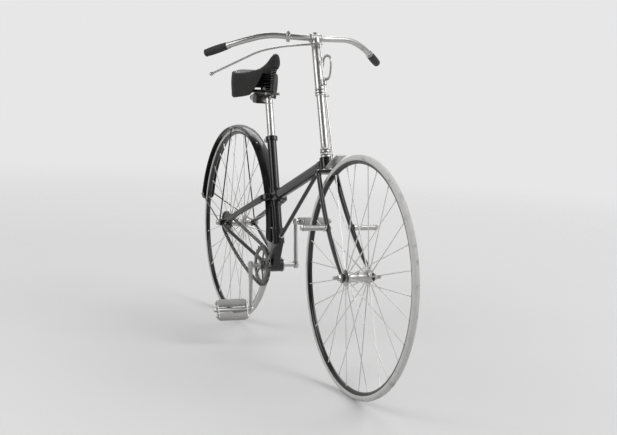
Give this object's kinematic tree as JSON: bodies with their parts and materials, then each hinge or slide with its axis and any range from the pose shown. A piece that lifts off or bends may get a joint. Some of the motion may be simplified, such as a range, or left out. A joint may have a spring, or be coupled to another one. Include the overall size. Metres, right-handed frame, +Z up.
{
  "type": "cross-frame safety bicycle",
  "caption": "Cross-frame safety bicycle with near-equal spoked wheels, solid rubber tyres, sprung saddle, plunger brake and fixed chain drive.",
  "frame": {"origin": "the rider's seat point on top of the saddle, 985 mm above the ground in the middle plane", "axes": "+X forward, +Y to the rider's left, +Z up"},
  "size_m": [1.8565, 0.6754, 1.1273],
  "materials": {
    "black_enamel": "gloss",
    "nickel": "polished",
    "spring_steel": "satin",
    "chain_steel": "satin",
    "tyre_rubber": "matt",
    "pedal_rubber": "matt",
    "grip_rubber": "satin",
    "saddle_leather": "satin"
  },
  "bodies": {
    "frame": {"seat_tube": "black_enamel", "backbone": "black_enamel", "head_lug": "black_enamel", "cross_lug": "black_enamel", "rear_fork_right": "black_enamel", "rear_fork_left": "black_enamel", "bottom_bracket": "black_enamel", "front_stay": "black_enamel", "lower_stays": "black_enamel", "seat_pillar": "nickel", "seat_clamp": "black_enamel", "saddle_clip": "black_enamel", "saddle_rails": "spring_steel", "saddle_springs": "spring_steel", "saddle": "saddle_leather", "rear_mudguard": "black_enamel", "mudguard_stays": "black_enamel", "rear_axle": "nickel", "chain": "chain_steel"},
    "steering": {"steering_column": "nickel", "column_rings": "nickel", "fork_crown": "black_enamel", "fork_blade_right": "black_enamel", "fork_blade_left": "black_enamel", "handlebar_stem": "nickel", "handlebar": "nickel", "grip_right": "grip_rubber", "grip_left": "grip_rubber", "brake_lever": "nickel", "lever_clip": "nickel", "brake_rod": "nickel", "brake_spoon": "nickel", "footrests": "nickel", "front_axle": "nickel", "lamp_bracket": "nickel"},
    "front_wheel": {"front_wheel_hub": "nickel", "front_wheel_spokes": "nickel", "front_wheel_rim": "black_enamel", "front_wheel_tyre": "tyre_rubber"},
    "rear_wheel": {"rear_wheel_hub": "nickel", "rear_wheel_spokes": "nickel", "rear_wheel_rim": "black_enamel", "rear_wheel_tyre": "tyre_rubber", "rear_sprocket": "chain_steel"},
    "crank": {"crank_axle": "nickel", "chainwheel": "chain_steel", "crank_right": "nickel", "crank_left": "nickel", "pedal_spindle_right": "nickel", "pedal_spindle_left": "nickel"},
    "right_pedal": {"pedal_right": "nickel", "pedal_rubbers_right": "pedal_rubber"},
    "left_pedal": {"pedal_left": "nickel", "pedal_rubbers_left": "pedal_rubber"}
  },
  "joints": [
    {"name": "steering", "type": "hinge", "parent": "frame", "child": "steering", "pos_m": [0.641, 0, -0.279], "axis": [-0.342, 0, 0.9397], "range_deg": [-45, 45]},
    {"name": "front_wheel_spin", "type": "hinge", "parent": "steering", "child": "front_wheel", "pos_m": [0.918, 0, -0.604], "axis": [0, 1, 0], "continuous": true},
    {"name": "crank_turn", "type": "hinge", "parent": "frame", "child": "crank", "pos_m": [0.232, 0, -0.698], "axis": [0, 1, 0], "continuous": true},
    {"name": "rear_wheel_spin", "type": "hinge", "parent": "frame", "child": "rear_wheel", "pos_m": [-0.17, 0, -0.604], "axis": [0, 1, 0], "continuous": true},
    {"name": "right_pedal_spin", "type": "hinge", "parent": "crank", "child": "right_pedal", "pos_m": [0.25687, -0.162, -0.85504], "axis": [0, 1, 0], "continuous": true},
    {"name": "left_pedal_spin", "type": "hinge", "parent": "crank", "child": "left_pedal", "pos_m": [0.20713, 0.162, -0.54096], "axis": [0, 1, 0], "continuous": true}
  ],
  "couplings": [
    {"joint": "rear_wheel_spin", "follows": "crank_turn", "ratio": 1.8}
  ]
}
